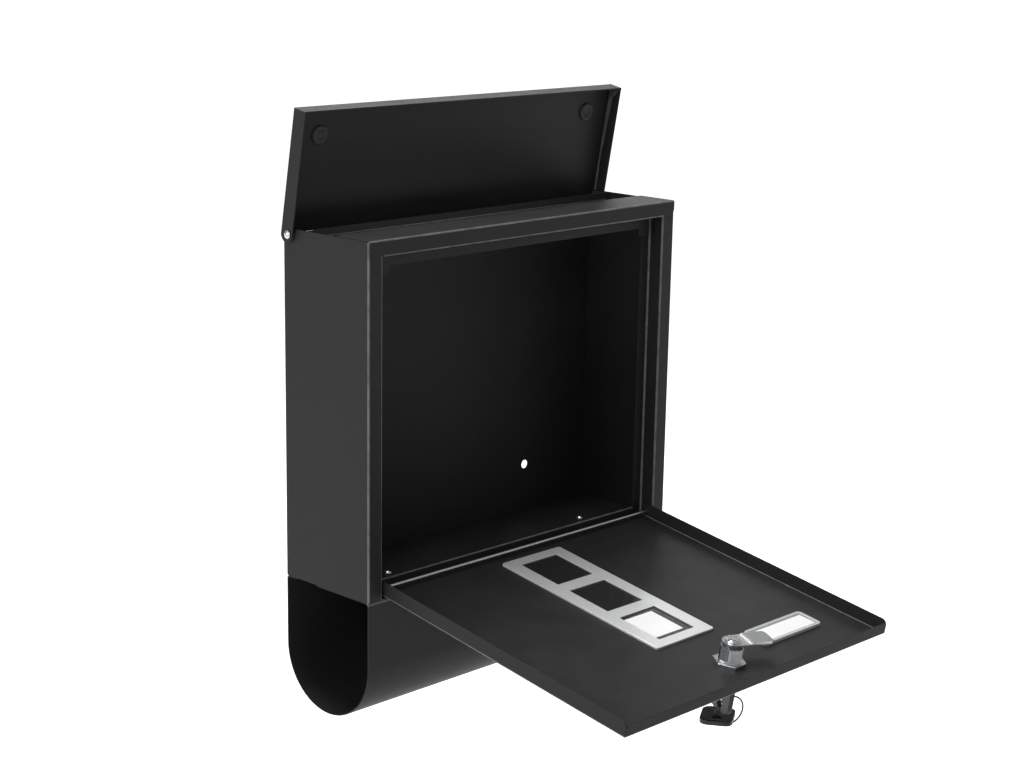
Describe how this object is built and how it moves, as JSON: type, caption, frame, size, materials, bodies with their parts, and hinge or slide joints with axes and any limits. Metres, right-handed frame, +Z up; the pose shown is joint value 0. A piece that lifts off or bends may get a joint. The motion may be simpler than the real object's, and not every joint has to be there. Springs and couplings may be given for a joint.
{
  "type": "wall mailbox",
  "caption": "Wall mailbox in dark bent sheet steel with a top lid, a drop-down front door with square windows, a cam lock and name plate, and an open newspaper roll below.",
  "frame": {"origin": "middle of the rectangle of wall holes, on the rear face that lies against the wall", "axes": "+X to the right seen from the front, +Y into the wall, so the front faces -Y, +Z up"},
  "size_m": [0.3756, 0.3645, 0.4995],
  "materials": {
    "powder_coat": "fine textured matt powder coat",
    "zinc": "bright zinc plate",
    "nickel": "nickel plate",
    "silver_plate": "satin silver coat",
    "smoke_pane": "smoke tinted clear sheet",
    "clear_plastic": "clear moulding",
    "paper": "smooth blank card",
    "rubber": "matt",
    "nylon": "black nylon",
    "key_plastic": "black moulding",
    "black_wire": "black coated wire"
  },
  "bodies": {
    "case": {"side_panel_left": "powder_coat", "side_panel_right": "powder_coat", "back_panel": "powder_coat", "floor_panel": "powder_coat", "front_rail": "powder_coat", "rear_gutter": "powder_coat", "newspaper_roll": "powder_coat", "roll_screws": "zinc", "roll_nuts": "zinc", "hinge_rod": "zinc", "rod_clips": "zinc", "pivot_screws": "zinc", "pivot_nuts": "zinc", "lid_spacers": "nylon"},
    "lid": {"lid_panel": "powder_coat", "lid_bumpers": "rubber"},
    "door": {"door_panel": "powder_coat", "window_plate": "silver_plate", "window_pane": "smoke_pane", "window_label": "paper", "name_frame": "clear_plastic", "name_card": "paper", "name_cover": "clear_plastic", "lock_housing": "nickel", "lock_gasket": "rubber", "lock_nut": "nickel"},
    "plug": {"lock_plug": "nickel", "lock_cam": "nickel", "cam_washer": "zinc", "cam_screw": "zinc"},
    "key": {"key_blade": "nickel", "key_head": "key_plastic"},
    "ring": {"key_ring": "black_wire"},
    "spare_key": {"spare_blade": "nickel", "spare_head": "key_plastic"}
  },
  "joints": [
    {"name": "lid_hinge", "type": "hinge", "parent": "case", "child": "lid", "pos_m": [0, -0.00893, 0.1365], "axis": [-1, 0, 0], "range_deg": [-79.8, 0]},
    {"name": "door_hinge", "type": "hinge", "parent": "case", "child": "door", "pos_m": [0, -0.0968, -0.1444], "axis": [1, 0, 0], "range_deg": [-99.3, 0]},
    {"name": "lock_turn", "type": "hinge", "parent": "door", "child": "plug", "pos_m": [0, -0.32738, -0.18743], "axis": [0, 0.1616, -0.9869], "range_deg": [-19, 71]},
    {"name": "key_slide", "type": "slide", "parent": "plug", "child": "key", "axis": [0, 0.1616, -0.9869], "range_m": [0, 0.018]},
    {"name": "ring_swing", "type": "hinge", "parent": "key", "child": "ring", "pos_m": [0, -0.32188, -0.22098], "axis": [0.9455, -0.3213, -0.0526], "range_deg": [-30, 30]},
    {"name": "spare_swing", "type": "hinge", "parent": "ring", "child": "spare_key", "pos_m": [-0.00165, -0.31864, -0.23729], "axis": [0, 0, -1], "range_deg": [-60, 4]}
  ]
}
